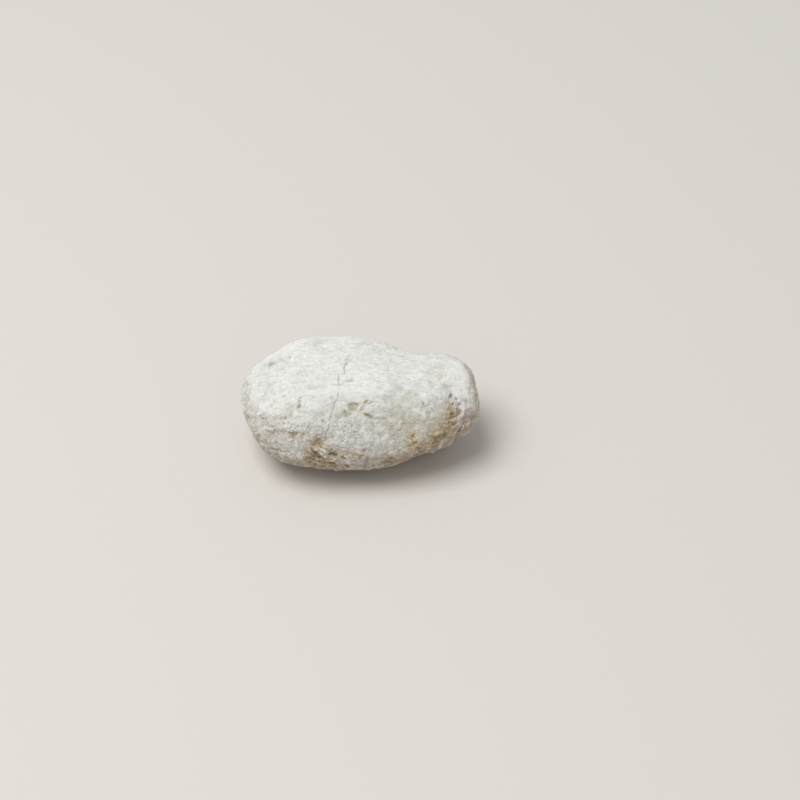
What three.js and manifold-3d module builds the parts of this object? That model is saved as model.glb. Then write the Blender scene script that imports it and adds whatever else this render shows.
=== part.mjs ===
// A calcite geode, whole and unbroken: a chalky, potato-shaped stone that fits in a palm.
// Millimetres. X runs along the stone, +Y to its back, +Z up. It rests on z = 0.
//
// The stone is one solid. A round body is drawn first, then pushed out and in by broad
// lumps, worn back to its measured reach on every side, dented by its hollows, and cut
// level where it rests.

import * as THREE from "three";
import { mergeVertices } from "three/addons/utils/BufferGeometryUtils.js";
import Module from "manifold-3d";

const wasm = await Module();
wasm.setup();

// The round body before wear.
const halfLength = 34;
const halfWidth = 20.5;
const halfHeight = 16.6;
const fullness = 2.15; // 2 is an ellipsoid, more is squarer
const taper = 0.06; // how much slimmer the +X end is than the middle

// The level spot under the stone is this far below the middle of the round body.
const restDepth = 16;

// Detail of the surface: 20 (detail + 1)^2 triangles before the cut.
const detail = 16;

// Each lump or hollow sits at a distance along X and at an angle round the stone: 0 is on
// top, 90 is the front (-Y), 180 is underneath and -90 is the back. A height below 0 dents.
const lumps = [
  { at: "front under the left end", along: -22, round: 120, height: 2, spread: 9 },
  { at: "shoulder of the left end", along: -30, round: -30, height: 1.8, spread: 9 },
  { at: "shoulder of the right end", along: 28, round: -40, height: 3, spread: 9 },
  { at: "heel of the right end", along: 30, round: 120, height: 1.6, spread: 8 },
  { at: "waist, on top", along: 12, round: -20, height: -0.6, spread: 6 },
  { at: "waist, back edge", along: 14, round: -47, height: -2.6, spread: 6 },
  { at: "waist, back", along: 16, round: -80, height: -1.4, spread: 6.5 },
  { at: "swell low on the back", along: -4, round: -100, height: 1.2, spread: 9 },
  { at: "dip behind the left end", along: -33, round: -100, height: -1.4, spread: 7 },
  { at: "rise under the right end", along: 16, round: 165, height: -1.2, spread: 8 },
];

const hollows = [
  { at: "crease of the right end, top", along: 26, round: 42, height: -0.8, spread: 2.4 },
  { at: "crease of the right end, middle", along: 26, round: 60, height: -1.2, spread: 2.6 },
  { at: "crease of the right end, foot", along: 24, round: 80, height: -0.9, spread: 2.6 },
  { at: "step beside the heel", along: 26, round: 104, height: -0.8, spread: 2.4 },
  { at: "round pit above the front", along: -1.5, round: 39, height: -0.6, spread: 2 },
  { at: "hollow low on the front", along: -11.5, round: 75, height: -0.9, spread: 2.4 },
  { at: "dent in the back", along: -16, round: -80, height: -0.8, spread: 4 },
  { at: "dent under the back", along: 4, round: -130, height: -0.8, spread: 4 },
];

// How far the stone reaches from its middle in each direction. The part within band of
// that reach is squeezed in, or drawn out, to end exactly there; a narrow band wears it
// flatter. The outline directions turn about the line halfway between front and top, from
// +X at 0 degrees through the upper back at 90.
const outline = (degrees) => {
  const angle = THREE.MathUtils.degToRad(degrees);
  const rise = Math.sin(angle) * Math.SQRT1_2;
  return new THREE.Vector3(Math.cos(angle), rise, rise);
};
const reaches = [
  { facing: new THREE.Vector3(0.02, -0.1, 1), reach: 14.6, band: 5 },
  { facing: new THREE.Vector3(0.1, -0.87, 0.48), reach: 18.2, band: 5 },
  { facing: new THREE.Vector3(-0.5, -0.8, 0.3), reach: 25.8, band: 6 },
  { facing: new THREE.Vector3(-0.25, 0.95, -0.2), reach: 20.2, band: 6 },
  { facing: outline(90), reach: 19, band: 3 },
  { facing: outline(75), reach: 19.9, band: 3 },
  { facing: outline(45), reach: 29.4, band: 5 },
  { facing: outline(18), reach: 33.1, band: 4 },
  { facing: outline(0), reach: 33.6, band: 4 },
  { facing: outline(-56), reach: 23.5, band: 3 },
  { facing: outline(-69), reach: 19.5, band: 3 },
  { facing: outline(-95), reach: 19, band: 3 },
  { facing: outline(-108), reach: 22, band: 3 },
  { facing: outline(-151), reach: 30.6, band: 3 },
  { facing: outline(-172), reach: 32.6, band: 3 },
  { facing: outline(150), reach: 31.8, band: 3 },
  { facing: outline(125), reach: 25.8, band: 3 },
  { facing: outline(106), reach: 22.3, band: 3 },
];
const wearRounds = 2; // each reach disturbs its neighbours a little, so all are set twice

// A point of the round body in a direction: a stretched sphere with a squarer section,
// narrowed evenly towards +X.
function roundBody(direction) {
  const powers = ["x", "y", "z"].map((axis) => Math.abs(direction[axis]) ** fullness);
  const length = powers.reduce((sum, power) => sum + power) ** (-1 / fullness);
  const point = direction.clone().multiplyScalar(length);
  point.multiply(new THREE.Vector3(halfLength, halfWidth, halfHeight));
  const slim = 1 - (taper * point.x) / halfLength;
  return point.set(point.x, point.y * slim, point.z * slim);
}

// The outward direction of the plain ellipsoid through a point.
function outwardAt(point) {
  const squares = new THREE.Vector3(halfLength ** 2, halfWidth ** 2, halfHeight ** 2);
  return point.clone().divide(squares).normalize();
}

// The middle of a lump, at its distance along the stone and its angle round it.
function middleOf({ along, round }) {
  const angle = THREE.MathUtils.degToRad(round);
  const slim = 1 - (taper * along) / halfLength;
  const radius = slim * Math.sqrt(Math.max(1 - (along / halfLength) ** 2, 0.03));
  const across = -halfWidth * radius * Math.sin(angle);
  return new THREE.Vector3(along, across, halfHeight * radius * Math.cos(angle));
}

// How far a list of bell-shaped lumps lifts the surface at a point of the round body.
function liftOf(list, point) {
  return list.reduce((sum, lump) => {
    const apart = point.distanceTo(middleOf(lump)) / lump.spread;
    return sum + lump.height * Math.exp(-apart * apart);
  }, 0);
}

// Wears the points back, or draws them out, to their reach in one direction. A height h
// above the foot of the band becomes h / (1 + squeeze h), which leaves the foot smooth.
function wear(points, { facing, reach, band }) {
  const towards = facing.clone().normalize();
  const foot = reach - band;
  const heights = points.map((point) => point.dot(towards) - foot);
  const tallest = heights.reduce((most, height) => Math.max(most, height));
  const squeeze = (tallest / band - 1) / tallest;
  points.forEach((point, i) => {
    const height = Math.max(heights[i], 0);
    point.addScaledVector(towards, height / (1 + squeeze * height) - height);
  });
}

// The whole surface of the stone: every corner of a fine ball moved to its place.
function stoneSurface() {
  const ball = new THREE.IcosahedronGeometry(1, detail);
  ball.deleteAttribute("normal");
  ball.deleteAttribute("uv");
  const surface = mergeVertices(ball, 1e-5);
  const places = surface.getAttribute("position");
  const bodies = Array.from({ length: places.count }, (_, i) =>
    roundBody(new THREE.Vector3().fromBufferAttribute(places, i).normalize()),
  );
  const points = bodies.map((body) =>
    body.clone().addScaledVector(outwardAt(body), liftOf(lumps, body)),
  );
  for (let round = 0; round < wearRounds; round++) {
    reaches.forEach((side) => wear(points, side));
  }
  points.forEach((point, i) => {
    point.addScaledVector(outwardAt(bodies[i]), liftOf(hollows, bodies[i]));
    places.setXYZ(i, point.x, point.y, point.z);
  });
  return surface;
}

function solidOf(geometry) {
  const bare = geometry.clone();
  bare.deleteAttribute("normal");
  bare.deleteAttribute("uv");
  const closed = mergeVertices(bare, 1e-5);
  return new wasm.Manifold(
    new wasm.Mesh({
      numProp: 3,
      vertProperties: new Float32Array(closed.getAttribute("position").array),
      triVerts: new Uint32Array(closed.index.array),
    }),
  );
}

function geometryOf(solid) {
  const { vertProperties, triVerts } = solid.getMesh();
  const geometry = new THREE.BufferGeometry();
  geometry.setAttribute("position", new THREE.BufferAttribute(vertProperties, 3));
  geometry.setIndex(new THREE.BufferAttribute(triVerts, 1));
  return geometry;
}

// The level spot: everything below restDepth is cut away by a block.
function cutLevel(surface) {
  const size = 3 * halfLength;
  const block = new THREE.BoxGeometry(size, size, size);
  block.translate(0, 0, -restDepth - size / 2);
  return geometryOf(solidOf(surface).subtract(solidOf(block)));
}

// The stone's frame: the middle of its outline in plan, on the surface it rests on.
function standOnOrigin(geometry) {
  geometry.computeBoundingBox();
  const { min, max } = geometry.boundingBox;
  return geometry.translate(-(min.x + max.x) / 2, -(min.y + max.y) / 2, -min.z);
}

const chalkyLimestone = new THREE.MeshStandardMaterial({
  color: 0xd9d8cf,
  roughness: 0.92,
  metalness: 0,
});

const nodule = new THREE.Mesh(standOnOrigin(cutLevel(stoneSurface())), chalkyLimestone);
nodule.name = "nodule";
nodule.geometry.computeVertexNormals();

const stone = new THREE.Group();
stone.add(nodule);

export default stone;
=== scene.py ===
import math

import bpy
import numpy as np
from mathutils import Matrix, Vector


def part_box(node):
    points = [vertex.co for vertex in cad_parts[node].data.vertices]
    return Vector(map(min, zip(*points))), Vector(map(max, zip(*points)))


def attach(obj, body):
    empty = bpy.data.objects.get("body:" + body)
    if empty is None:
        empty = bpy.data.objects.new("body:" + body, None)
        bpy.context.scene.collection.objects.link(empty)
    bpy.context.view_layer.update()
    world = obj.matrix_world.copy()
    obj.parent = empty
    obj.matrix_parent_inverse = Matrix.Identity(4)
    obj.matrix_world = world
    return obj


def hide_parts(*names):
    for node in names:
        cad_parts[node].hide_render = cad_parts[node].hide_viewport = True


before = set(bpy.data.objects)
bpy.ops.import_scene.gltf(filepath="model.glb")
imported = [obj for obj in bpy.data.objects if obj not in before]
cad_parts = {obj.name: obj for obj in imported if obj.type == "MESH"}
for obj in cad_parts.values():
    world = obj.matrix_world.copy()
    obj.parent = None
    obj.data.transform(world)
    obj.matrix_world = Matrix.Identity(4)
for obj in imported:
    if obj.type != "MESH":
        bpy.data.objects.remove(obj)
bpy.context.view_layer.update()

# A whole calcite geode: a chalky limestone nodule on a pale floor under soft studio light.
# The stone's sizes below are in millimetres about the middle of its round body, with X along
# it, -Y its front and Z up. A place on it is a distance along X and an angle round it:
# 0 degrees on top, 90 at the front, 180 underneath and -90 at the back.

mm = 0.001
print("frame loaded")

stone = {
    "halfLength": 34,
    "halfWidth": 20.5,
    "halfHeight": 16.6,
    "fullness": 2.15,  # 2 is an ellipsoid, more is squarer
    "taper": 0.06,  # how much slimmer the +X end is than the middle
    "restDepth": 16,  # the level spot is this far below the middle
    "tipRoom": 0.03,  # the section of a place at or past a tip, as a share of the middle one
    "wearRounds": 2,  # each side disturbs its neighbours a little, so all are set twice
    "cells": (185, 116, 91),  # grid cells along, across and up, about 0.26 mm each
    # broad lumps and dips: along, round, height and spread
    "lumps": [
        (-22, 120, 2, 9),  # front under the left end
        (-30, -30, 1.8, 9),  # shoulder of the left end
        (28, -40, 3, 9),  # shoulder of the right end
        (30, 120, 1.6, 8),  # heel of the right end
        (12, -20, -0.6, 6),  # waist, on top
        (14, -47, -2.6, 6),  # waist, back edge
        (16, -80, -1.4, 6.5),  # waist, back
        (-4, -100, 1.2, 9),  # swell low on the back
        (-33, -100, -1.4, 7),  # dip behind the left end
        (16, 165, -1.2, 8),  # rise under the right end
    ],
    "hollows": [
        (26, 42, -0.8, 2.4),  # crease of the right end, top
        (26, 60, -1.2, 2.6),  # crease of the right end, middle
        (24, 80, -0.9, 2.6),  # crease of the right end, foot
        (26, 104, -0.8, 2.4),  # step beside the heel
        (-1.5, 39, -0.6, 2),  # round pit above the front
        (-11.5, 75, -0.9, 2.4),  # hollow low on the front
        (-16, -80, -0.8, 4),  # dent in the back
        (4, -130, -0.8, 4),  # dent under the back
    ],
    # how far it reaches from its middle: facing, reach, and the band that is squeezed to it
    "sides": [
        ((0.02, -0.1, 1), 14.6, 5),
        ((0.1, -0.87, 0.48), 18.2, 5),
        ((-0.5, -0.8, 0.3), 25.8, 6),
        ((-0.25, 0.95, -0.2), 20.2, 6),
    ],
    # the same round its outline from halfway between front and top: angle, reach and band
    "outline": [
        (90, 19, 3), (75, 19.9, 3), (45, 29.4, 5), (18, 33.1, 4), (0, 33.6, 4), (-56, 23.5, 3),
        (-69, 19.5, 3), (-95, 19, 3), (-108, 22, 3), (-151, 30.6, 3), (-172, 32.6, 3),
        (150, 31.8, 3), (125, 25.8, 3), (106, 22.3, 3),
    ],
}
halfSizes = np.array([stone["halfLength"], stone["halfWidth"], stone["halfHeight"]])


# Values held between 0 and 1.
def unit(values):
    return np.clip(values, 0, 1)


# Box grid folded into a ball: on each side of a box, u and v run from -1 to 1 and a grid point
# is (1, tan(u pi/4), tan(v pi/4)) brought to length 1, so that the cells stay nearly even.
def ballGrid(cells):
    corners, quads, count = [], [], 0
    for axis in range(3):
        first, second = (axis + 1) % 3, (axis + 2) % 3
        u = np.tan(np.linspace(-1, 1, cells[first] + 1) * math.pi / 4)
        v = np.tan(np.linspace(-1, 1, cells[second] + 1) * math.pi / 4)
        gridU, gridV = np.meshgrid(u, v, indexing="ij")
        number = np.arange(gridU.size).reshape(gridU.shape)
        ring = [number[:-1, :-1], number[1:, :-1], number[1:, 1:], number[:-1, 1:]]
        for side in (1, -1):
            face = np.zeros(gridU.shape + (3,))
            face[..., axis], face[..., first], face[..., second] = side, gridU, gridV
            corners.append(face.reshape(-1, 3))
            turned = ring if side > 0 else ring[::-1]
            quads.append(np.stack(turned, -1).reshape(-1, 4) + count)
            count += gridU.size
    corners, quads = np.vstack(corners), np.vstack(quads)
    closed, shared = np.unique(np.round(corners, 6), axis=0, return_inverse=True)
    return closed / np.linalg.norm(closed, axis=1)[:, None], shared.reshape(-1)[quads]


# Stretched ball with a squarer section: (|x|^n + |y|^n + |z|^n)^(-1/n) times the direction,
# times the half sizes, narrowed evenly towards +X.
def roundBody(directions):
    power = stone["fullness"]
    length = (np.abs(directions) ** power).sum(1) ** (-1 / power)
    points = directions * length[:, None] * halfSizes
    slim = 1 - stone["taper"] * points[:, 0] / stone["halfLength"]
    points[:, 1:] *= slim[:, None]
    return points


# A place on the round body: its section at that distance along, turned to the angle. The power
# is the body's own fullness, or 2 for the plain ellipsoid that the lumps were set out on.
def placeOn(along, angle, power):
    along, turn = np.asarray(along, float), np.radians(angle)
    slim = 1 - stone["taper"] * along / stone["halfLength"]
    room = np.maximum(1 - np.abs(along / stone["halfLength"]) ** power, stone["tipRoom"])
    squareness = np.abs(np.sin(turn)) ** power + np.abs(np.cos(turn)) ** power
    radius = slim * (room / squareness) ** (1 / power)
    across = -stone["halfWidth"] * radius * np.sin(turn)
    return np.stack([along, across, stone["halfHeight"] * radius * np.cos(turn)], -1)


# Sum of bells: height times e^-(distance / spread)^2.
def bells(bodies, listed):
    total = np.zeros(len(bodies))
    for along, angle, height, spread in listed:
        apart = np.linalg.norm(bodies - placeOn(along, angle, 2), axis=1) / spread
        total += height * np.exp(-(apart**2))
    return total


# Wears points back, or draws them out, to a reach in one direction: a height h above the foot
# of the band becomes h / (1 + squeeze h).
def wear(points, facing, reach, band):
    towards = np.array(facing) / np.linalg.norm(facing)
    height = points @ towards - (reach - band)
    tallest = height.max()
    squeeze = (tallest / band - 1) / tallest
    height = np.maximum(height, 0)
    points += (height / (1 + squeeze * height) - height)[:, None] * towards


# Direction of the outline at an angle: its cosine along X, and its sine shared between back
# and up.
def outlineFacing(degrees):
    rise = math.sin(math.radians(degrees)) * math.sqrt(0.5)
    return (math.cos(math.radians(degrees)), rise, rise)


# Outward directions of the plain ellipsoid: (x / a^2, y / b^2, z / c^2) brought to length 1.
def outwardAt(bodies):
    outward = bodies / halfSizes**2
    return outward / np.linalg.norm(outward, axis=1)[:, None]


# Smooth stone: the round body with its lumps, worn to its reach on every side, and dented.
def smoothStone(bodies):
    outward = outwardAt(bodies)
    points = bodies + outward * bells(bodies, stone["lumps"])[:, None]
    for _ in range(stone["wearRounds"]):
        for facing, reach, band in stone["sides"]:
            wear(points, facing, reach, band)
        for degrees, reach, band in stone["outline"]:
            wear(points, outlineFacing(degrees), reach, band)
    return points + outward * bells(bodies, stone["hollows"])[:, None]


# Normals of the corners: the crossed diagonals of the quads round each, added up.
def cornerNormals(points, quads):
    crossed = np.cross(points[quads[:, 2]] - points[quads[:, 0]],
                       points[quads[:, 3]] - points[quads[:, 1]])
    total = np.stack([np.bincount(quads.ravel(), np.repeat(crossed[:, i], 4), len(points))
                      for i in range(3)], 1)
    return total / np.linalg.norm(total, axis=1)[:, None]


# Each value becomes the mean of its own and its four neighbours', as often as asked.
def spreadOut(values, quads, rounds):
    starts = quads.ravel()
    ends = np.roll(quads, -1, axis=1).ravel()
    count = np.bincount(starts, minlength=len(values)) + 1
    for _ in range(rounds):
        values = (values + np.bincount(starts, values[ends], len(values))) / count
    return values


draws = 4096  # random values that a lattice has to pick from, a power of 2


# Which draw each cell of a lattice takes: its numbers and the seed, each times a large prime,
# mixed bit by bit, the same on every run.
def scramble(cell, seed):
    mixed = (cell[..., 0] * 73856093) ^ (cell[..., 1] * 19349663) ^ (cell[..., 2] * 83492791)
    mixed = (mixed ^ (seed * 2654435761)) & 0x7FFFFFFF
    mixed = ((mixed ^ (mixed >> 15)) * 1274126177) & 0x7FFFFFFF
    return (mixed ^ (mixed >> 13)) & (draws - 1)


# Gradient noise: a random slope at each corner of a lattice, blended inside each cube by
# 6t^5 - 15t^4 + 10t^3. Grain is the lattice spacing in mm, and the gain makes the values run
# from about -1 to 1.
def noise(points, grain, seed):
    slopes = np.random.default_rng(seed).normal(size=(draws, 3))
    slopes /= np.linalg.norm(slopes, axis=1)[:, None]
    scaled = points / grain
    cell = np.floor(scaled).astype(np.int64)
    inside = scaled - cell
    blend = inside**3 * (inside * (inside * 6 - 15) + 10)
    total, gain = np.zeros(len(points)), 1.7
    for corner in np.ndindex(2, 2, 2):
        slope = slopes[scramble(cell + corner, seed)]
        weight = np.where(corner, blend, 1 - blend).prod(1)
        total += weight * ((inside - corner) * slope).sum(1)
    return total * gain


# Noise with finer noise on it: each octave has half the grain and height of the one before, and
# the sum is divided by 1.4 to run from about -1 to 1 again.
def manyNoises(points, grain, seed, octaves):
    parts = [noise(points, grain / 2**i, seed + i) / 2**i for i in range(octaves)]
    return sum(parts) / 1.4


# Net of sharp ridges with round hollows between: 1 - 3 |noise|, not below -1.
def ridges(points, grain, seed):
    return np.maximum(1 - 3 * np.abs(noise(points, grain, seed)), -1)


# Round pits scattered at random: each cube of a lattice may hold one ball, and a point inside
# a ball is (1 - (distance / radius)^2)^2 deep, less in a small one, with 1 the deepest.
def pits(points, spacing, share, smallest, largest, seed):
    rng = np.random.default_rng(seed)
    middles, chances, sizes = rng.random((draws, 3)), rng.random(draws), rng.random(draws)
    cell = np.floor(points / spacing).astype(np.int64)
    deepest = np.zeros(len(points))
    for step in np.ndindex(3, 3, 3):
        near = cell + np.array(step) - 1
        pick = scramble(near, seed)
        radius = smallest + (largest - smallest) * sizes[pick] ** 2
        apart = np.linalg.norm(points - (near + middles[pick]) * spacing, axis=1) / radius
        depth = np.where((chances[pick] < share) & (apart < 1), (1 - apart**2) ** 2, 0)
        deepest = np.maximum(deepest, depth * radius / largest)
    return deepest


# Distance in mm from each point to a path of places on the stone, laid in steps under 1 mm, the
# same distance with the sign of its side, and how far along the path it is, from 0 to 1.
def fromPath(bodies, path):
    along, angle = np.array(path, float).T
    power = stone["fullness"]
    if len(path) > 1:
        gaps = np.linalg.norm(np.diff(placeOn(along, angle, power), axis=0), axis=1)
        run = np.append(0, np.cumsum(gaps))
        steps = np.linspace(0, run[-1], int(run[-1]) + 2)
        along, angle = np.interp(steps, run, along), np.interp(steps, run, angle)
    stops = placeOn(along, angle, power)
    nearest = np.linalg.norm(bodies - stops[0], axis=1)
    side, gone = np.ones(len(bodies)), np.full(len(bodies), 0.5)
    for i, (start, end) in enumerate(zip(stops[:-1], stops[1:])):
        run = end - start
        share = unit((bodies - start) @ run / (run @ run))
        apart = bodies - start - share[:, None] * run
        distance = np.linalg.norm(apart, axis=1)
        closer = distance <= nearest
        nearest = np.where(closer, distance, nearest)
        side = np.where(closer, np.sign(apart @ np.cross(run, start / halfSizes**2)), side)
        gone = np.where(closer, (i + share) / (len(stops) - 1), gone)
    return nearest, nearest * side, gone


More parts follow.
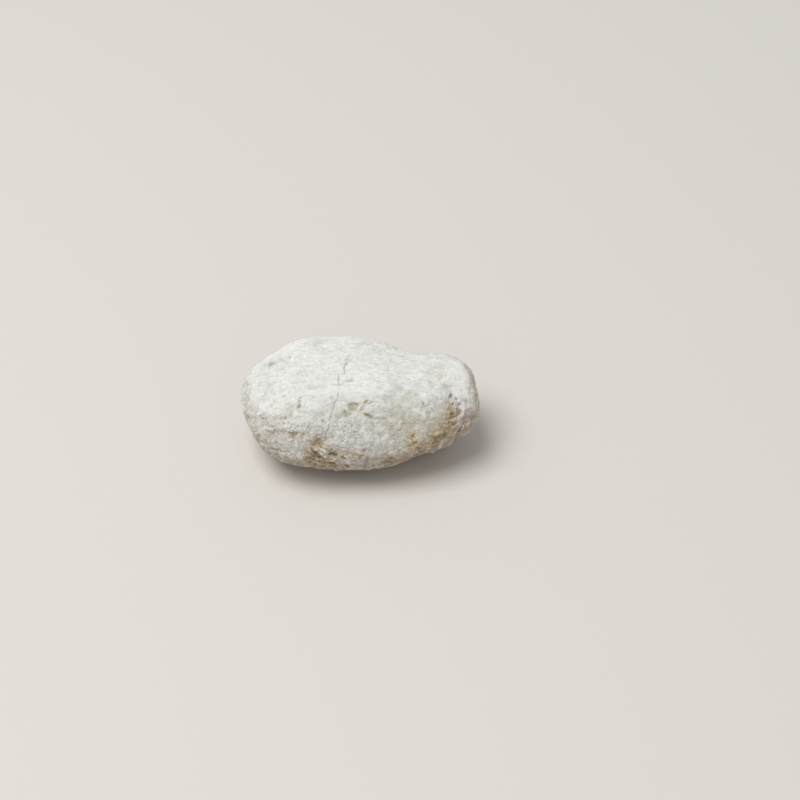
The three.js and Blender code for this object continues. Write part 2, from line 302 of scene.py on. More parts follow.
# Each mark is one or more paths of places, with its half width and depth in mm; a depth below 0
# raises it, and one without a depth is only a stain. A crack is sharp at the bottom and narrows
# to its ends, a pit has steep walls and may have a raised rim, and a mark of no kind is a round
# hollow. Dark is how much dirt is in it, and on a few marks painted shade, line is the darkness
# of the hairline along its middle, and clay, olive, grey, mauve, pale and bright are how strongly
# it is stained.
marks = [
    # hairline from the top down the front in three runs, with soft creases where it breaks off
    {"paths": [[(-2.6, -13), (-3.3, -10), (-3.5, -7), (-3.4, -4)],
               [(-4.3, 16), (-3.1, 15), (-2.1, 14)]], "width": 0.9, "depth": 0.1, "dark": 0.22},
    {"kind": "crack", "paths": [[(-3.4, -4), (-3.9, -1), (-4.4, 1), (-4, 4), (-4.2, 7)]],
     "width": 0.5, "depth": 0.1, "line": 0.3},
    {"kind": "crack", "paths": [[(-5.6, 10), (-5.7, 14), (-5.5, 17)]],
     "width": 0.45, "depth": 0.1, "line": 0.25},
    {"paths": [[(-7.5, 18), (-6.7, 18), (-5.3, 19), (-4.3, 18)]],
     "width": 0.7, "depth": 0.12, "dark": 0.35},
    {"kind": "crack", "paths": [[(-5.7, 27), (-6.1, 33), (-6.9, 40), (-7.4, 47), (-8, 56),
                                 (-8.2, 61), (-9.3, 70)]],
     "width": 0.5, "depth": 0.1, "line": 0.26},
    # round pit above the front, open to the stained hollow on its left, with chalk round it
    {"kind": "pit", "paths": [[(-1.4, 39), (-1.1, 40)]],
     "width": 1.6, "depth": 0.3, "rim": 0.2, "dark": 0.04, "olive": 0.7, "mauve": 0.4},
    # the next two are a dark crescent of painted shade on its upper wall, the first with a mauve
    # stain
    {"paths": [[(-1.9, 37), (-1.1, 36), (-0.4, 37), (-0.1, 39)]],
     "width": 0.8, "depth": 0.15, "dark": 0.2, "mauve": 0.4},
    {"paths": [[(-1.1, 35), (-0.5, 36), (-0.3, 38)]], "width": 0.6, "depth": 0.15, "dark": 0.6},
    {"paths": [[(-2.2, 44), (-2.8, 43), (-3.3, 45), (-2.5, 46)]],
     "width": 1.2, "depth": 0.3, "dark": 0.2, "olive": 2.2},
    {"paths": [[(-3.8, 44)]], "width": 0.5, "depth": 0.1, "dark": 0.3},
    {"paths": [[(-1.1, 48), (-0.5, 47)], [(-1.4, 45)]],
     "width": 0.6, "depth": -0.3, "bright": 0.6},
    {"paths": [[(0.3, 39), (0.4, 42)]], "width": 0.7, "depth": -0.2, "bright": 0.3, "pale": 0.25},
    # the small pits, strokes and ridge to its right
    {"paths": [[(2.5, 41), (3.2, 39), (4.2, 37)]], "width": 0.7, "depth": -0.2, "bright": 0.7},
    {"paths": [[(0.8, 36), (1.8, 36)], [(2.6, 36)]], "width": 0.8, "depth": -0.1, "pale": 0.4},
    {"kind": "crack", "paths": [[(1.4, 37), (2.6, 34)], [(2.8, 37), (4.2, 34)]],
     "width": 0.55, "depth": 0.3, "dark": 0.6, "olive": 0.8},
    {"paths": [[(0.3, 34)], [(2, 34)]], "width": 0.45, "depth": 0.15, "dark": 0.5},
    {"paths": [[(1, 43), (1.5, 42)]], "width": 1, "depth": 0.35, "dark": 0.25, "olive": 1.2},
    {"paths": [[(0.8, 46)], [(1.9, 45)]],
     "width": 0.7, "depth": -0.25, "pale": 0.3, "mauve": 0.3},
    # hooked crack below them, tapering to the right, and the bumps under it
    {"paths": [[(2.2, 47), (2.7, 48)]], "width": 0.9, "depth": 0.45, "dark": 0.9, "mauve": 0.3},
    {"kind": "crack", "paths": [[(2.2, 48), (3.4, 50), (4.8, 51)]],
     "width": 0.7, "depth": 0.25, "dark": 0.45},
    {"kind": "crack", "paths": [[(3.8, 50), (4.8, 51), (6, 51)]],
     "width": 0.6, "depth": 0.2, "dark": 0.45},
    {"kind": "crack", "paths": [[(4.8, 51), (6, 52), (7.6, 52)]],
     "width": 0.8, "depth": 0.2, "dark": 0.45},
    {"paths": [[(3, 54), (4.8, 54)]], "width": 0.8, "depth": -0.25, "pale": 0.4},
    {"paths": [[(-1.3, 51)], [(0.2, 52)], [(1.7, 53)], [(5.5, 54), (6.1, 53)]],
     "width": 0.9, "depth": -0.3, "bright": 0.55},
    {"kind": "crack", "paths": [[(-2.4, 66), (0.2, 66)]],
     "width": 0.45, "depth": 0.1, "line": 0.15},
    # single dark specks over the front and the top
    {"paths": [[(-5.7, 59)], [(-3.6, 59)], [(-1.8, 58)], [(-3.8, 64)], [(-7.1, 70)], [(-4.3, 73)],
               [(-5.8, 78)], [(-9.9, 61)], [(9.2, 60)], [(12.6, 58)]],
     "width": 0.5, "depth": 0.2, "dark": 0.5},
    {"paths": [[(23.9, 4)], [(24.9, 7)], [(-14.4, 10)], [(-26.2, -14)], [(-19.4, -17)]],
     "width": 0.5, "depth": 0.15, "dark": 0.25},
    # dimple on the left shoulder, and chalk crumbs on the right end
    {"paths": [[(-24.2, -11), (-22.8, -11)]],
     "width": 1.6, "depth": 0.25, "dark": 0.08, "grey": 1},
    {"paths": [[(20.4, 10)], [(21.3, 8)], [(22.3, 13)], [(21.1, 3)]],
     "width": 0.6, "depth": -0.25, "pale": 0.2, "bright": 0.4},
    # edge of the stained part of the front
    {"paths": [[(6.5, 64), (8.5, 66), (7.5, 74), (7, 81)]],
     "width": 0.8, "depth": -0.15, "bright": 0.2},
    # strokes, hollows and chalky bumps of the left of the front
    {"kind": "crack", "paths": [[(-16.5, 36), (-15.8, 34)], [(-16.9, 42), (-16.1, 37)]],
     "width": 0.5, "depth": 0.3, "dark": 0.6, "clay": 0.3},
    {"paths": [[(-16.2, 31)], [(-17.1, 38)]], "width": 0.5, "depth": 0.15, "dark": 0.35},
    {"paths": [[(-15.6, 35), (-15.2, 39)], [(-17.5, 49), (-15.5, 48)]],
     "width": 0.7, "depth": -0.3, "bright": 0.55},
    {"paths": [[(-18.7, 42), (-19.2, 46), (-18.7, 51)]],
     "width": 1.3, "depth": 0.15, "olive": 0.8},
    {"kind": "pit", "paths": [[(-21.5, 54)], [(-20.5, 53)], [(-20.7, 58)]],
     "width": 0.7, "depth": 0.15, "dark": 0.3},
    {"paths": [[(-26.4, 60), (-25.6, 63), (-24.4, 64)], [(-28.9, 59), (-28.7, 66)]],
     "width": 1.4, "depth": 0.2, "dark": 0.05, "clay": 0.2},
    {"paths": [[(-28.1, 53), (-27.2, 52)], [(-26.3, 72), (-25.9, 70), (-24.3, 68)]],
     "width": 0.9, "depth": -0.4, "bright": 0.6},
    {"paths": [[(-18.2, 68), (-17, 68)]], "width": 1, "depth": 0.3, "dark": 0.3, "clay": 0.7},
    {"paths": [[(-18.1, 67)], [(-16.9, 69)], [(-19, 66)]],
     "width": 0.5, "depth": 0.2, "dark": 0.7},
    {"paths": [[(-18.8, 64), (-17.7, 62), (-16.3, 63)], [(-20.5, 62), (-19.5, 62)]],
     "width": 0.8, "depth": -0.3, "bright": 0.6},
    {"paths": [[(-22.7, 68), (-20.6, 69)], [(-27.2, 83), (-26.2, 80)]],
     "width": 1.3, "depth": 0.1, "dark": 0.05, "olive": 0.9},
    {"kind": "crack", "paths": [[(-23.5, 93), (-21.3, 91), (-18.9, 91)]],
     "width": 0.7, "depth": 0.2, "dark": 0.25, "line": 0.2},
    # pitted band along the foot of the front, with clay in it and white chips beside the pits
    {"kind": "pit", "paths": [[(-12.2, 77), (-10.4, 77)]],
     "width": 1.5, "depth": 0.05, "rim": 0.15, "dark": 0.1, "clay": 0.7},
    {"paths": [[(-11.9, 76), (-11.1, 77)]],
     "width": 0.9, "depth": 0.15, "dark": 0.1, "clay": 0.5},
    {"paths": [[(-12.9, 73), (-11.6, 71), (-10.3, 72)], [(-9, 76)]],
     "width": 0.7, "depth": -0.2, "pale": 0.4},
    {"kind": "pit", "paths": [[(-10.3, 84)], [(-9.5, 85)], [(-9.9, 88)], [(-8.8, 88)],
                              [(-9.1, 92)]],
     "width": 0.55, "depth": -0.35, "pale": 0.6, "bright": 0.8},
    {"paths": [[(-10.6, 81)], [(-9.2, 82)], [(-8.6, 83)], [(-9.9, 86)], [(-9.2, 87)]],
     "width": 0.45, "depth": 0.25, "dark": 0.9},
    {"paths": [[(-8.2, 87), (-6.4, 88)]], "width": 1.1, "depth": 0.25, "clay": 1},
    {"kind": "crack", "paths": [[(-8.6, 88), (-7.2, 90), (-5.9, 89)], [(-4.9, 91), (-3.6, 95)]],
     "width": 0.8, "depth": 0.4, "dark": 0.9, "clay": 0.7},
    {"paths": [[(-8.4, 100), (-7.2, 102)], [(-9.6, 99)], [(-3.2, 108)]],
     "width": 0.8, "depth": 0.35, "dark": 0.9, "clay": 0.6},
    {"kind": "crack", "paths": [[(-13.4, 84), (-12.3, 87), (-11.6, 92), (-10, 96)]],
     "width": 1, "depth": 0.4, "dark": 0.7, "clay": 0.5},
    {"kind": "crack", "paths": [[(-14.2, 98), (-10.5, 99)], [(-14, 103), (-11.2, 104)]],
     "width": 0.6, "depth": 0.25, "dark": 0.5, "clay": 1},
    {"paths": [[(-13, 101), (-11.5, 101)], [(-10, 99), (-8.8, 103)]],
     "width": 0.6, "depth": -0.25, "pale": 0.4},
    {"paths": [[(-1.6, 88), (-0.8, 90), (0.6, 91)]], "width": 1, "depth": 0.1, "clay": 0.7},
    {"paths": [[(-1.1, 97)], [(-0.3, 99)], [(0.5, 99)], [(1, 99)], [(1.7, 99)]],
     "width": 0.5, "depth": 0.2, "dark": 0.35},
    {"kind": "crack", "paths": [[(2.7, 96), (2.3, 100), (2.5, 105)]],
     "width": 0.6, "depth": 0.3, "dark": 0.5},
    {"kind": "crack", "paths": [[(4.6, 96), (8.6, 97)]], "width": 0.5, "depth": 0.1, "line": 0.2},
    # crease that sets off the right end: a dip above, greyed and darkened as painted shade, dark
    # strokes at its top, cut as grooves and darkened as painted shadow, white flecks, and clay
    # all down it
    {"paths": [[(24, 17), (24.8, 21), (25.3, 28)]],
     "width": 1.6, "depth": 0.4, "dark": 0.2, "grey": 1},
    {"kind": "crack", "paths": [[(25.2, 25), (25.7, 31)], [(26.3, 36), (26.7, 40)],
                                [(26.6, 30), (26.9, 33)], [(27.6, 40), (27.8, 38)],
                                [(27.4, 46), (27.6, 44)]],
     "width": 0.55, "depth": 0.35, "dark": 0.95},
    {"kind": "pit", "paths": [[(26.1, 31)], [(26.2, 34)], [(26.8, 37)], [(27.3, 42)],
                              [(27.6, 36)], [(28.2, 42)]],
     "width": 0.5, "depth": -0.3, "bright": 1.1},
    {"paths": [[(25.2, 37), (25.6, 46)]], "width": 1, "depth": 0.1, "clay": 0.6, "pale": 0.2},
    {"paths": [[(26.2, 51), (26.5, 60), (25.5, 72)]], "width": 1.7, "depth": 0.15, "clay": 1.4},
    {"paths": [[(26.4, 73), (24.2, 77)]], "width": 2, "clay": 0.8},
    # ledges across it with an arched groove between them, and lumps and dark hollows below
    {"paths": [[(25.1, 49), (27, 49)], [(25.4, 53), (27.1, 53)], [(25.5, 60), (26.9, 62)],
               [(27.4, 65)], [(27.3, 71)]],
     "width": 0.7, "depth": -0.3, "clay": 0.7, "pale": 0.25},
    {"kind": "crack", "paths": [[(25.2, 51), (27.3, 51)],
                                [(25, 57), (25.6, 55), (27.1, 55), (27.4, 59)]],
     "width": 0.6, "depth": 0.25, "dark": 0.35, "clay": 1},
    {"paths": [[(26.7, 68)], [(27, 76)]], "width": 0.6, "depth": 0.3, "dark": 0.6, "clay": 0.7},
    # gap beside a ridge that turns over the top of a smooth hollow, with dark specks below
    {"kind": "crack", "paths": [[(28, 44), (28, 51), (27.5, 56)]],
     "width": 0.7, "depth": 0.4, "dark": 0.5, "clay": 0.5},
    {"paths": [[(28.8, 54), (29.2, 47), (30.4, 44), (31.8, 46)]],
     "width": 1.4, "depth": -0.3, "bright": 0.25},
    {"paths": [[(27.9, 59), (28.5, 54), (28.7, 47), (28.8, 41)]],
     "width": 0.7, "depth": -0.35, "pale": 0.25, "bright": 0.4},
    {"paths": [[(28.5, 64), (30.8, 67), (32.1, 69)]], "width": 2.2, "depth": 0.35, "mauve": 1},
    {"paths": [[(28.9, 60)], [(31.8, 63)]], "width": 1, "depth": 0.1, "mauve": 0.9},
    {"paths": [[(29.6, 62)]], "width": 0.7, "depth": 0.1, "dark": 0.15},
    {"paths": [[(28.8, 69), (29.2, 73)]], "width": 1.2, "depth": 0.2, "dark": 0.35, "mauve": 1},
    {"paths": [[(30, 73)]], "width": 0.7, "depth": -0.2, "bright": 0.6},
    {"kind": "pit", "paths": [[(28.7, 74)], [(28.3, 79)]],
     "width": 0.45, "depth": -0.3, "bright": 0.9},
    {"paths": [[(28.8, 80), (30.2, 87)]], "width": 1.8, "depth": -0.2, "clay": 0.6},
    {"paths": [[(27.4, 73)], [(27.8, 79)], [(27.8, 84)], [(28.2, 76)]],
     "width": 0.65, "depth": 0.3, "dark": 0.95},
    # lip, hollow and ridge at the foot of the crease
    {"paths": [[(21.1, 79), (21.9, 82), (21.5, 87)]],
     "width": 1.5, "depth": 0.35, "dark": 0.1, "clay": 1.1},
    {"paths": [[(21.3, 76), (21.8, 73), (22.6, 72), (23.3, 75)]],
     "width": 0.7, "depth": -0.3, "pale": 0.55},
    {"kind": "crack", "paths": [[(24.3, 83), (23.8, 87), (22.7, 91), (21.9, 97)]],
     "width": 0.9, "depth": 0.35, "dark": 0.15},
    {"paths": [[(22.9, 108), (23.1, 99), (24, 95), (25, 98)]],
     "width": 0.7, "depth": -0.45, "pale": 0.4},
    {"paths": [[(28.1, 104), (28.2, 120), (28.2, 150)]],
     "width": 1.5, "depth": 0.7, "dark": 0.15},
    {"paths": [[(21, 110), (23.8, 114), (25.8, 120), (26, 130)]],
     "width": 2.4, "depth": -0.6},
    # stained band to the left of that, along the rim
    {"paths": [[(15, 76), (15.5, 82), (16.6, 89)]],
     "width": 1.5, "depth": 0.05, "clay": 0.8, "olive": 0.6},
    {"paths": [[(15.1, 71)], [(16.4, 90), (17.6, 93)], [(14.4, 84)], [(15.6, 81)]],
     "width": 0.8, "depth": 0.3, "dark": 0.3, "clay": 1},
    {"paths": [[(15.7, 76)], [(14.3, 78)], [(15.8, 86)], [(18.3, 90)]],
     "width": 0.8, "depth": -0.25, "pale": 0.4},
    # small bumps on the right front, the first with its left side stained
    {"paths": [[(18.7, 37)]], "width": 1.2, "depth": -0.5, "pale": 0.4, "bright": 0.4},
    {"paths": [[(17.7, 37), (17.9, 41)]], "width": 0.7, "depth": 0.2, "dark": 0.15, "olive": 1},
    {"paths": [[(15.6, 38)], [(22.8, 37)]], "width": 0.9, "depth": -0.2, "bright": 0.35},
    # spots on the right rim
    {"paths": [[(30.5, -20), (31.5, -19)], [(29.3, 35)], [(33, 14)]],
     "width": 1, "depth": 0.15, "dark": 0.2, "olive": 1},
    # the back and underneath, which match the front
    {"kind": "crack", "paths": [[(-12, -62), (-10.6, -75), (-11.4, -90), (-9.6, -104)],
                                [(12, -60), (15, -64), (17, -62)]],
     "width": 0.55, "depth": 0.15, "line": 0.35},
    {"kind": "pit", "paths": [[(-16.5, -80), (-15.6, -82)], [(9.6, -96), (10.6, -98)]],
     "width": 1.5, "depth": 0.4, "rim": 0.2, "dark": 0.2, "clay": 0.6},
    {"paths": [[(-25, -110), (-23, -118)], [(18, -130), (20, -140)]],
     "width": 1.5, "depth": 0.3, "clay": 0.8},
    {"kind": "crack", "paths": [[(-18, 140), (-12, 148), (-8, 146)], [(-2, -112), (1, -116)],
                                [(22, -84), (24, -90)]],
     "width": 0.7, "depth": 0.25, "dark": 0.25, "clay": 0.5},
]

# Parts of the skin as bells: along, round, strength and spread.
parts = {
    "lumpy": [
        (-21, 58, 0.75, 10), (-12, 92, 0.7, 7), (-28, 95, 0.5, 7), (-30, -20, 0.5, 8),
        (26, 70, 0.6, 6), (0, 98, 0.5, 7), (-18, -95, 0.8, 10), (14, -110, 0.7, 10),
        (0, 170, 0.8, 14), (24, 150, 0.7, 10),
    ],
    "smooth": [(4, 66, 0.25, 7), (13, 50, 0.5, 7), (19, 60, 0.3, 6), (29.6, 62, 0.4, 3)],
    "chalky": [(28, 10, 1, 5)],  # rubbed though it leans
}
# Stains likewise: pale is creamy chalk, and painted light in three patches on the right end;
# bright and white are fresh chalk; and under is the clay of the underside where it comes higher,
# and painted shade where the foot and the right end turn under.
patches = {
    "clay": [
        (25.2, 64, 0.6, 3), (23.6, 76, 0.7, 4), (19, 88, 0.4, 4), (27, 92, 0.5, 4),
        (-12, 98, 1.1, 3.4), (-9, 104, 0.8, 3.6), (-11.4, 80, 0.7, 3), (-1.5, 90, 0.25, 2.6),
        (8, 104, 0.9, 1.6), (31.5, 2, 0.3, 3), (31, 88, 0.5, 2.6), (-28.5, 84, 0.3, 2.6),
        (-31, 50, 0.25, 3), (-24, 100, 0.15, 5), (14, 112, 0.5, 6), (-26, -112, 0.7, 5),
        (6, -118, 0.7, 7), (20, -95, 0.5, 4), (-6, 150, 0.6, 10), (20, 150, 0.6, 8),
        (10, -150, 0.6, 9), (-22, 160, 0.5, 7), (30, -100, 0.5, 4),
    ],
    "olive": [
        (10, 32, 0.4, 3.4), (-7, 40, 0.6, 3.2), (-3, 44, 0.6, 2.4), (9, 52, 0.6, 5),
        (14, 46, 0.5, 4.5), (21.5, -2, 0.5, 2.4), (3, 36, 0.4, 2.5), (12, 68, 0.4, 5),
        (-28, 84, 0.6, 2), (-18.3, 45, 0.5, 2.4), (20.5, 50, 0.8, 4), (8, 59, 0.3, 3),
        (20, 64, 0.4, 4), (-14, 66, 0.3, 4), (-8, -80, 0.4, 5), (14, -84, 0.4, 5),
        (26, -70, 0.4, 4),
    ],
    "grey": [
        (22, -34, 0.6, 4), (28, -26, 0.6, 3), (20, -14, 0.4, 2.4), (20.6, 6, 0.4, 2.4),
        (21.4, 22, 0.4, 2.4), (-11, -32, 0.7, 3.2), (3, -28, 0.6, 4.5), (-23.5, -11, 0.9, 1.8),
        (-12, 12, 0.4, 4), (-1, 62, 0.5, 4.5), (-7.3, 78, 0.6, 3), (9, 58, 0.9, 4),
        (10, -8, 0.3, 5), (-23, 62, 0.25, 6), (-23.5, 84, 0.6, 4), (-12, 62, 0.4, 4),
        (-10, 44, 0.5, 4), (11, 24, 0.6, 4), (12, 66, 0.4, 4), (6, 60, 0.8, 4), (6.5, 45, 0.8, 4),
        (6.5, 37, 0.5, 3), (4, 74, 0.5, 6), (19, 45, 0.7, 4), (17, 54, 0.6, 4), (22, 52, 0.4, 3),
        (19, 64, 0.7, 4), (18.5, 80, 0.5, 3), (-32, 24, 0.5, 4), (-32, 55, 0.8, 4),
        (-31, 85, 0.6, 4), (-26, 12, 0.3, 4), (5, 88, 0.4, 3), (-6, -70, 0.4, 6),
        (18, -60, 0.4, 5), (-20, -90, 0.4, 5),
    ],
    "pale": [
        # (32.8, 66), (25.4, 66) and (25, 88) are painted light on the right end and in the
        # crease, where they turn from the light
        (32.8, 66, 0.6, 2.4), (33, 30, 0.6, 3), (32.4, 4, 0.4, 3), (25.4, 66, 0.45, 2.4),
        (25, 88, 0.3, 2),
    ],
    "bright": [(28.2, 38, 0.6, 2.2)],
    "white": [
        (27, 4, 1, 5), (27, 18, 0.9, 4), (24, -14, 0.4, 4), (-18, 52, 0.9, 7), (-9, 14, 0.8, 5),
        (-8, 26, 0.4, 4), (0, 20, 0.7, 4), (-1, 62, 0.6, 4.5), (0, 80, 0.5, 4), (4, 92, 0.5, 4),
        (-23, 68, 0.9, 6), (-20, -50, 0.5, 7), (8, -60, 0.5, 5), (28, -70, 0.5, 4),
    ],
    # clay of the underside, with painted shade where the foot and the right end turn under
    "under": [
        (18, 88, 0.35, 4), (28.6, 80, 0.7, 4), (25, 94, 0.4, 4), (20, 96, 0.8, 4),
        (15, 100, 0.7, 4), (-26, 96, 0.7, 5), (-12, 104, 0.8, 5), (-10.7, 89, 0.4, 2.6),
        (9, 106, 0.8, 4), (-18, 98, 0.15, 4),
    ],
    "mauve": [
        (29.8, 64, 0.9, 2.6), (4, 108, 0.6, 6), (-14, 106, 0.3, 6), (24, 108, 0.5, 4),
        (25.4, 84, 0.8, 2.6),
    ],
}

# Unevenness of the skin, with sizes, heights and depths in mm.
skin = {
    # clouds of bumps: grain, height, seed and octaves
    "swells": (9, 0.4, 1, 3),
    "bumps": (4.4, 0.34, 5, 2),
    "lumps": (3.2, 0.75, 7, 2),  # on the lumpy parts
    "grains": (1.1, 0.24, 11, 2),
    "streaks": (1.8, 0.22, 14, 2),  # on the rubbed crust
    "streakLength": 4,  # times as long as wide, along X
    "net": (2.3, 0.1, 9),  # fine ridges: grain, height and seed
    # balls scattered over it: spacing, share of the places filled, smallest and largest radius,
    # seed, and the depth or height of the largest
    "crumbs": (1.05, 0.8, 0.3675, 0.63, 31, 0.35),  # of clay
    "largePits": (3.4, 0.4, 0.6, 1.4, 24, 0.5),
    "smallPits": (1.9, 0.5, 0.35, 0.75, 27, 0.4),
    "dots": (2.3, 0.4, 0.3, 0.5, 36, 0.25),
    "chips": (2.3, 0.4, 0.35, 0.8, 33, 0.3),
    "crumbLevel": 0.3,  # about the mean of the crumbs, so that the clay stays level
    "pitted": (7, 1.2, 21),  # where the pits lie: grain, contrast and seed
    "fewest": 0.3,  # share of small pits and dots left where there are fewest
    # how far places stray along the skin, so that no mark or stain has an even edge
    "wobble": (1.8, 0.5, 40, 2),
    # rubbed crust: how far up the skin faces at its edge, where 1 is straight up
    "crustFacing": 0.74,
    "crustLean": (0.13, 15),  # how much more that is to the right, and within how many mm
    "crustChalky": 0.3,  # how much less on a chalky part
    "crustFade": 0.12,
    "crustEdge": (3.5, 0.16, 17, 3),  # how its edge wanders: grain, amount, seed and octaves
    "crustStep": 0.2,
    # how rough bare skin is, and what each kind of part adds to that
    "bareRoughness": 0.9,
    "roughens": {"rubbed": -0.45, "clay": 0.3, "lumpy": 0.55, "smooth": -0.6},
    # how a mark falls off from its middle, 0, to its edge, 1
    "crackSharpness": 1.3,
    "crackEnd": 0.1,  # the share of its width that is left at its ends, squared
    "pitFloor": 0.3,  # where its floor ends and its wall begins
    "rim": (1.15, 0.3),  # where its crest is, and its spread
    "stainSpread": 1.3,
    "markUnevenness": (1.1, 0.7, 60),  # grain, share of the depth and seed
    "lineReach": 1,  # how far from its middle a hairline may go
    # rounds of spreading out, and the height from a crest to a hollow
    "broadHollows": (25, 0.6),
    "nicks": (6, 0.2),
    "underTop": (16, 5),  # how high the clay stain and painted shade of the underside come, and how gradually they end
    "underEdge": (6, 3, 50),  # how its edge wanders: grain, height and seed
    # strengths of the looks: on a crest or smooth skin, and what a hollow or rough skin adds
    "clayStrength": (0.7, 0.8),
    "poreStrength": (0.4, 0.6),
    "dotStrength": 1.5,
    "crumbContrast": (3, 2),  # how sharply brown keeps off the crumbs, and cream keeps to them
    "clayHides": {"front": 0.8, "chips": 0.4, "low": 0.6, "high": 0.5},  # share of each look
    "chalkHides": 0.6,  # share of the crust's look
}


# A cloud of bumps: its height times a share at each point times its noise.
def cloudOf(name, places, share=1):
    grain, height, seed, octaves = skin[name]
    return height * share * manyNoises(places, grain, seed, octaves)


# Scattered balls as pits has them, and the depth or height of the largest in mm.
def scattered(name):
    *balls, height = skin[name]
    return pits(wobbled, *balls), height


# How far each corner lies below the skin round it, from 0 on a crest to 1 in a hollow.
def lowness(name):
    rounds, height = skin[name]
    return unit(0.5 + (spreadOut(relief, quads, rounds) - relief) / height)


# What clay leaves uncovered of a look.
def uncovered(look):
    return 1 - skin["clayHides"][look] * masks["clay"]


print("working out the stone")
directions, quads = ballGrid(stone["cells"])
bodies = roundBody(directions)
points = smoothStone(bodies)
normals = cornerNormals(points, quads)

grain, stray, seed, octaves = skin["wobble"]
astray = stray * np.stack([manyNoises(bodies, grain, seed + 3 * i, octaves)
                           for i in range(3)], 1)
outward = outwardAt(bodies)
wobbled = bodies + astray - (astray * outward).sum(1)[:, None] * outward  # along the skin only
lumpy, smooth, chalky = (unit(bells(wobbled, listed)) for listed in parts.values())
masks = {name: unit(bells(wobbled, listed)) for name, listed in patches.items()}

# How rough each part is: the top is rubbed smooth, and the skin is roughest where it is lumpy
# or has clay on it.
rise, side = skin["crustLean"]
edge = skin["crustFacing"] + rise * np.clip(bodies[:, 0] / side, -1, 1)
edge += cloudOf("crustEdge", points) - skin["crustChalky"] * chalky
rubbed = unit((normals[:, 2] - edge) / skin["crustFade"] + 0.5)
kinds = {"rubbed": rubbed, "clay": masks["clay"], "lumpy": lumpy, "smooth": smooth}
rough = np.full(len(points), skin["bareRoughness"])
for name, share in skin["roughens"].items():
    rough += share * kinds[name]

relief = cloudOf("swells", points)
relief += cloudOf("bumps", points, rough)
relief += cloudOf("lumps", points, lumpy)
grain, height, seed = skin["net"]
relief += height * rough * (1 - masks["clay"]) * ridges(wobbled, grain, seed)
relief += cloudOf("grains", points, rough)
relief += cloudOf("streaks", points * (1 / skin["streakLength"], 1, 1), rubbed)
crumbs, height = scattered("crumbs")
relief += height * masks["clay"] * (crumbs - skin["crumbLevel"])

grain, contrast, seed = skin["pitted"]
patchy = unit(0.5 + contrast * noise(points, grain, seed))
fewest = skin["fewest"]
largePits, depth = scattered("largePits")
relief -= depth * rough * largePits * patchy
smallPits, depth = scattered("smallPits")
smallPits *= fewest + (1 - fewest) * patchy
relief -= depth * rough * smallPits
dots, depth = scattered("dots")
dots *= fewest + (1 - fewest) * (1 - rubbed)
relief -= depth * dots
chips, height = scattered("chips")
chips *= 1 - rubbed
relief += height * rough * chips
relief += skin["crustStep"] * rubbed

tints = ("clay", "olive", "grey", "mauve", "pale", "bright")
dark, line, lineSide = np.zeros((3, len(points)))
nearestLine = np.full(len(points), np.inf)
grain, share, seed = skin["markUnevenness"]
uneven = 1 + share * noise(points, grain, seed)
floor, (rimAt, rimSpread), reach = skin["pitFloor"], skin["rim"], skin["lineReach"]
for mark in marks:
    kind = mark.get("kind")
    for path in mark["paths"]:
        distance, sided, gone = fromPath(wobbled, path)
        apart = distance / mark["width"]
        if kind == "crack":
            apart /= np.sqrt(np.clip(4 * gone * (1 - gone), skin["crackEnd"], 1))
        near = unit(apart)
        if kind == "crack":
            deep = (1 - near) ** skin["crackSharpness"]
        elif kind == "pit":
            wall = unit((near - floor) / (1 - floor))
            deep = 1 - wall * wall * (3 - 2 * wall)
        else:
            deep = 0.5 + 0.5 * np.cos(math.pi * near)
        relief -= mark.get("depth", 0) * deep * uneven
        relief += mark.get("rim", 0) * np.exp(-(((apart - rimAt) / rimSpread) ** 2))
        dark = np.maximum(dark, mark.get("dark", 0) * deep)
        for tint in tints:
            stained = mark.get(tint, 0) * np.exp(-((apart / skin["stainSpread"]) ** 2))
            masks[tint] = np.maximum(masks[tint], stained)
            if tint == "mauve":  # its limestone is bare of clay
                masks["clay"] *= 1 - stained**2
        if "line" in mark:
            closest = distance < nearestLine
            nearestLine = np.where(closest, distance, nearestLine)
            lineSide = np.where(closest, np.clip(sided, -reach, reach), lineSide)
            drawn = mark["line"] * unit(2 - 2 * distance / reach)
            line = np.where(closest, drawn, line)
points += normals * relief[:, None]
hollow, nick = lowness("broadHollows"), lowness("nicks")
points[:, 2] = np.maximum(points[:, 2], -stone["restDepth"])

# Stretched slightly, so that its box is the CAD node's.
low, high = (np.array(corner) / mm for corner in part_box("nodule"))
points = low + (points - points.min(0)) * (high - low) / np.ptp(points, axis=0)

# Where each look of the material shows: clay mostly in hollows, with brown in its nicks and
# cream on its crumbs. Each update reads the clay as it was before it.
# The underside's clay stain and painted shade: darker towards the bottom, up to underTop.
top, fade = skin["underTop"]
grain, height, seed = skin["underEdge"]
wander = height * noise(points, grain, seed)
masks["under"] += unit((top - points[:, 2] + wander) / fade)
off, on = skin["crumbContrast"]
least, added = skin["clayStrength"]
masks.update(
    front=unit((1 - rubbed) * rough * uncovered("front")),
    chips=chips * uncovered("chips"),
    brown=unit(masks["clay"] * (nick - off * crumbs)),
    cream=unit(masks["clay"] * (on * crumbs - skin["crumbLevel"])),
    clay=unit(masks["clay"] * (least + added * hollow)),
)
least, added = skin["poreStrength"]
masks.update(
    # low is painted shade, darkest in the hollows
    low=unit(2 * hollow - 1) * uncovered("low"),
    high=unit(1 - 2 * hollow) * uncovered("high"),
    crust=rubbed * (1 - skin["chalkHides"] * np.maximum(chalky, masks["white"])),
    pores=unit(smallPits * (least + added * rough)),
    dots=unit(skin["dotStrength"] * dots),
    dark=unit(dark), rough=rough, line=line, lineSide=lineSide,
)


# Adds an object with this data to the scene.
def addObject(name, data):
    made = bpy.data.objects.new(name, data)
    bpy.context.scene.collection.objects.link(made)
    return made


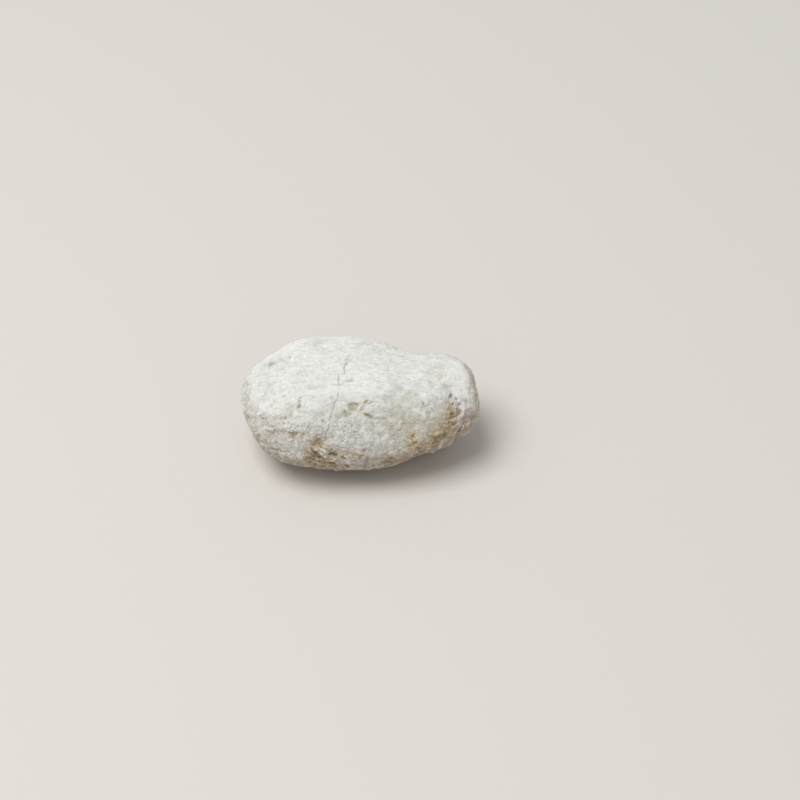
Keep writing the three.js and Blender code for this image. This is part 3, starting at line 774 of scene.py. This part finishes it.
# The stone's mesh in metres, with its masks as attributes.
def stonePiece():
    mesh = bpy.data.meshes.new("nodule_surface")
    mesh.from_pydata((points * mm).tolist(), [], quads.tolist())
    for name, values in masks.items():
        held = mesh.attributes.new(name, "FLOAT", "POINT")
        held.data.foreach_set("value", values.astype(np.float32))
    mesh.shade_smooth()
    mesh.update()
    return addObject("nodule_surface", mesh)


# sRGB hex to the linear colour that the shaders take: c / 12.92 where it is dark, and
# ((c + 0.055) / 1.055)^2.4 elsewhere.
def linear(hexCode):
    parts = [int(hexCode[i:i + 2], 16) / 255 for i in (1, 3, 5)]
    return (*[c / 12.92 if c <= 0.04045 else ((c + 0.055) / 1.055) ** 2.4 for c in parts], 1)


# Adds a shader node, sets its settings, and gives its sockets a value or a link.
def addNode(tree, kind, settings=None, sockets=None):
    made = tree.nodes.new("ShaderNode" + kind)
    for name, value in (settings or {}).items():
        setattr(made, name, value)
    for name, value in (sockets or {}).items():
        if isinstance(value, bpy.types.NodeSocket):
            tree.links.new(value, made.inputs[name])
        else:
            made.inputs[name].default_value = value
    return made


chalkyLimestone = {
    "chalk": "#F0F0ED",  # the dry, powdery skin where it is rubbed
    "colours": {
        "skin": "#DDDCD5",  # the same skin unrubbed, on the sides
        "white": "#F1F1ED",  # fresh chalk
        "grey": "#B9BAB7",  # where the skin is thin and the limestone shows, and painted shade in the dip above the right crease
        "olive": "#C1BEA2",  # yellow-green weathering
        "tan": "#C8A973",  # clay held in the hollows
        "cream": "#E6DABC",  # chalk grains with clay on them, and painted light in three pale patches
        "brown": "#7A6346",  # thick clay
        "under": "#9C7C60",  # clay rubbed into the underside, and painted shade where the stone turns under
        "mauve": "#B08E7E",  # smooth limestone with a pinkish stain
        "dustAndShade": "#9A9486",  # dust on the rough skin, and painted shade that darkens the hollows
        "dirtAndShade": "#604F3F",  # dirt in cracks and pores, and painted shade on the round pit's upper wall and in the strokes at the top of the right crease
    },
    # cloudy patterns: size in mm, how much longer they are along X, and the values that become
    # 0 and 1
    "patterns": {
        "broad": (5, 1, 0.3, 0.6),
        "blotchy": (1.9, 1, 0.35, 0.6),
        "cloudy": (2.7, 1, 0.4, 0.62),
        "crumbly": (1.6, 1, 0.2, 0.45),
        "grainy": (0.7, 1, 0.45, 0.6),
        "streaky": (0.6, 3, 0.42, 0.62),
        # grit is about 0.1 mm in a real one, and drawn coarser so that it shows
        "gritty": (0.45, 1, 0.45, 0.6),
        "sandy": (0.28, 1, 0.45, 0.6),
    },
    # colours laid over the chalk in turn: colour, where, pattern and strength
    "layers": [
        ("skin", "front", "broad", 0.9),
        ("white", "white", "blotchy", 0.9),
        ("grey", "grey", "cloudy", 0.9),
        ("mauve", "mauve", "crumbly", 0.9),
        ("olive", "olive", "blotchy", 0.9),
        ("tan", "clay", "crumbly", 1.0),
        ("brown", "brown", "crumbly", 0.75),
        ("brown", "clay", "gritty", 0.25),
        # clay of the underside, with painted shade at the foot
        ("under", "under", "blotchy", 0.85),
        ("cream", "cream", "crumbly", 0.8),
        ("cream", "clay", "sandy", 0.35),
        ("cream", "pale", "crumbly", 0.9),
        ("white", "bright", "crumbly", 0.9),
        # painted shade in the hollows
        ("dustAndShade", "low", "blotchy", 0.6),
        ("white", "high", "grainy", 0.5),
        ("grey", "crust", "grainy", 0.12),
        ("grey", "crust", "streaky", 0.28),
        ("dustAndShade", "crust", "gritty", 0.14),
        ("dustAndShade", "front", "gritty", 0.5),
        ("white", "front", "sandy", 0.5),
        ("white", "chips", "broad", 0.8),
        ("dirtAndShade", "pores", "broad", 0.8),
        # dirt, and painted shade on a few marks
        ("dirtAndShade", "dark", "crumbly", 0.8),
        ("dirtAndShade", "dots", "cloudy", 0.6),
    ],
    "grit": ((0.6, 1.0), (0.28, 0.6)),  # size in mm and share of its relief
    "gritDepth": 0.4,  # mm
    "hairline": (0.2, 0.08),  # mm from its middle where it fades out and where it is full
    "jags": (0.8, 0.2),  # mm along the hairline, and mm that each pushes it aside
    "roughness": 0.92,
    "diffuseRoughness": 0.5,  # powdery, so it stays bright where it turns away
    "specular": 0.25,  # half the usual gloss, because the powder scatters it
    "ior": 1.58,  # calcite, between its two indices
}


# Chalky limestone, rubbed dry: a matt, powdery surface with no shine, greyer where thin, tan
# where clay stays in its hollows. A colour mix clamps its share, 0, and has the colours under
# and over at 6 and 7.
def limestone():
    look = chalkyLimestone
    made = bpy.data.materials.new("chalkyLimestone")
    made.use_nodes = True
    tree = made.node_tree
    tree.nodes.clear()
    place = addNode(tree, "TexCoord").outputs["Object"]
    where = {name: addNode(tree, "Attribute", {"attribute_name": name}).outputs["Fac"]
             for name in masks}
    patterns = {}
    for name, (size, longer, low, high) in look["patterns"].items():
        drawn = addNode(tree, "Mapping", {}, {"Vector": place, "Scale": (1 / longer, 1, 1)})
        cloud = addNode(tree, "TexNoise", {},
                        {"Vector": drawn.outputs[0], "Scale": 1 / (size * mm), "Detail": 3})
        patterns[name] = addNode(tree, "MapRange", {},
                                 {0: cloud.outputs[0], 1: low, 2: high}).outputs[0]

    colours = {name: linear(hexCode) for name, hexCode in look["colours"].items()}
    colour, times = linear(look["chalk"]), {"operation": "MULTIPLY"}
    for name, mask, pattern, strength in look["layers"]:
        amount = addNode(tree, "Math", times, {0: where[mask], 1: patterns[pattern]})
        amount = addNode(tree, "Math", times, {0: amount.outputs[0], 1: strength})
        colour = addNode(tree, "Mix", {"data_type": "RGBA"},
                         {0: amount.outputs[0], 6: colour, 7: colours[name]}).outputs[2]

    # the hairline, pushed to and fro by a noise
    fades, full = look["hairline"]
    size, aside = look["jags"]
    jags = addNode(tree, "TexNoise", {}, {"Vector": place, "Scale": 1 / (size * mm)})
    shift = addNode(tree, "MapRange", {"clamp": False}, {0: jags.outputs[0], 3: -aside, 4: aside})
    across = addNode(tree, "Math", {"operation": "ADD"},
                     {0: shift.outputs[0], 1: where["lineSide"]})
    across = addNode(tree, "Math", {"operation": "ABSOLUTE"}, {0: across.outputs[0]})
    thread = addNode(tree, "MapRange", {}, {0: across.outputs[0], 1: fades, 2: full})
    thread = addNode(tree, "Math", times, {0: thread.outputs[0], 1: where["line"]})
    colour = addNode(tree, "Mix", {"data_type": "RGBA"},
                     {0: thread.outputs[0], 6: colour, 7: colours["dirtAndShade"]}).outputs[2]

    # grit in relief, coarse and fine, with the hairline sunk in it
    height = thread.outputs[0]
    for size, share in look["grit"]:
        grit = addNode(tree, "TexNoise", {}, {"Vector": place, "Scale": 1 / (size * mm)})
        depth = addNode(tree, "Math", times, {0: where["rough"], 1: -share})
        height = addNode(tree, "Math", {"operation": "MULTIPLY_ADD"},
                         {0: grit.outputs[0], 1: depth.outputs[0], 2: height}).outputs[0]
    bump = addNode(tree, "Bump", {"invert": True},
                   {"Height": height, "Distance": look["gritDepth"] * mm})
    shader = addNode(tree, "BsdfPrincipled", {},
                     {"Base Color": colour, "Roughness": look["roughness"], "IOR": look["ior"],
                      "Specular IOR Level": look["specular"],
                      "Diffuse Roughness": look["diffuseRoughness"], "Normal": bump.outputs[0]})
    addNode(tree, "OutputMaterial", {}, {"Surface": shader.outputs[0]})
    return made


nodule = stonePiece()
nodule.data.materials.append(limestone())
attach(nodule, "root")
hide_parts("nodule")
print("stone built:", len(nodule.data.polygons), "quads")

studio = {
    "floorRadius": 0.9,  # metres of level floor
    "sweepReach": 0.6,  # past that it curves up over this far
    "sweepHeight": 0.4,
    "floorRings": (15, 12),  # on the level and on the curve
    "floorTurns": 96,
    "floorColour": "#DCD8D2",
    "floorRoughness": 0.9,
    "floorSpecular": 0.1,
    "worldColour": "#FFFFFF",
    "worldStrength": 0.41,
    "boxSize": 0.9,  # metres square
    "boxPlace": (-0.49, -0.22, 1.39),  # above, left and a little in front
    "boxPower": 16.2,  # watts
}


# Pale painted board that sweeps up all round, so that it shows no edge: a profile turned about
# Z. Its radius runs level from the middle, then reach sin(a) out and height (1 - cos(a)) up.
def floorSweep():
    turns, (levelRings, bendRings) = studio["floorTurns"], studio["floorRings"]
    level = studio["floorRadius"] * np.linspace(0, 1, levelRings + 1)[1:]
    bend = np.linspace(0, math.pi / 2, bendRings + 1)[1:]
    radius = np.append(level, level[-1] + studio["sweepReach"] * np.sin(bend))
    height = np.append(level * 0, studio["sweepHeight"] * (1 - np.cos(bend)))
    around = np.linspace(0, 2 * math.pi, turns, endpoint=False)
    rings = np.stack([radius[:, None] * np.cos(around), radius[:, None] * np.sin(around),
                      height[:, None] + 0 * around], -1)
    number = 1 + np.arange(len(radius) * turns).reshape(len(radius), turns)
    after = np.roll(number, -1, axis=1)
    strips = np.stack([number[:-1], number[1:], after[1:], after[:-1]], -1).reshape(-1, 4)
    middle = np.stack([np.zeros(turns, int), number[0], after[0]], -1)
    mesh = bpy.data.meshes.new("floor")
    mesh.from_pydata([(0, 0, 0)] + rings.reshape(-1, 3).tolist(), [],
                     strips.tolist() + middle.tolist())
    mesh.shade_smooth()
    mesh.update()
    paint = bpy.data.materials.new("paleBoard")
    paint.use_nodes = True
    shader = paint.node_tree.nodes["Principled BSDF"]
    shader.inputs["Base Color"].default_value = linear(studio["floorColour"])
    shader.inputs["Roughness"].default_value = studio["floorRoughness"]
    shader.inputs["Specular IOR Level"].default_value = studio["floorSpecular"]
    mesh.materials.append(paint)
    return addObject("floor", mesh)


# Even white light all round, and one softbox turned to the stone.
def softLight():
    world = bpy.data.worlds.new("studioWorld")
    world.use_nodes = True
    back = world.node_tree.nodes["Background"]
    back.inputs["Color"].default_value = linear(studio["worldColour"])
    back.inputs["Strength"].default_value = studio["worldStrength"]
    bpy.context.scene.world = world
    lamp = bpy.data.lights.new("softbox", "AREA")
    lamp.shape = "SQUARE"
    lamp.size = studio["boxSize"]
    lamp.energy = studio["boxPower"]
    made = addObject("softbox", lamp)
    made.location = studio["boxPlace"]
    made.rotation_euler = (-made.location).to_track_quat("-Z", "Y").to_euler()


camera = {
    "elevation": 45,  # degrees above the horizon, from the front
    "distance": 0.7,  # metres from the stone
    "lens": 112.5,  # mm
    "sensor": 36,  # mm
    "aside": 0.011,  # the view's middle is this far to the right of the stone's
    "above": 0.0009,  # and this far above it
}


# Looks at the middle of the stone as the view sees it, shifted as asked.
def studioCamera():
    rise = math.radians(camera["elevation"])
    back = np.array([0, -math.cos(rise), math.sin(rise)])
    up = np.array([0, math.sin(rise), math.cos(rise)])
    heights = points @ up * mm
    depths = points @ back * mm
    middle = up * (heights.min() + heights.max()) / 2 + back * (depths.min() + depths.max()) / 2
    target = middle + (camera["aside"], 0, 0) + up * camera["above"]
    lens = bpy.data.cameras.new("studioCamera")
    lens.lens = camera["lens"]
    lens.sensor_width = camera["sensor"]
    made = addObject("studioCamera", lens)
    made.location = target + back * camera["distance"]
    made.rotation_euler = Vector(-back).to_track_quat("-Z", "Y").to_euler()
    bpy.context.scene.camera = made


floorSweep()
softLight()
studioCamera()
bpy.context.scene.view_settings.view_transform = "Standard"
print("studio ready")
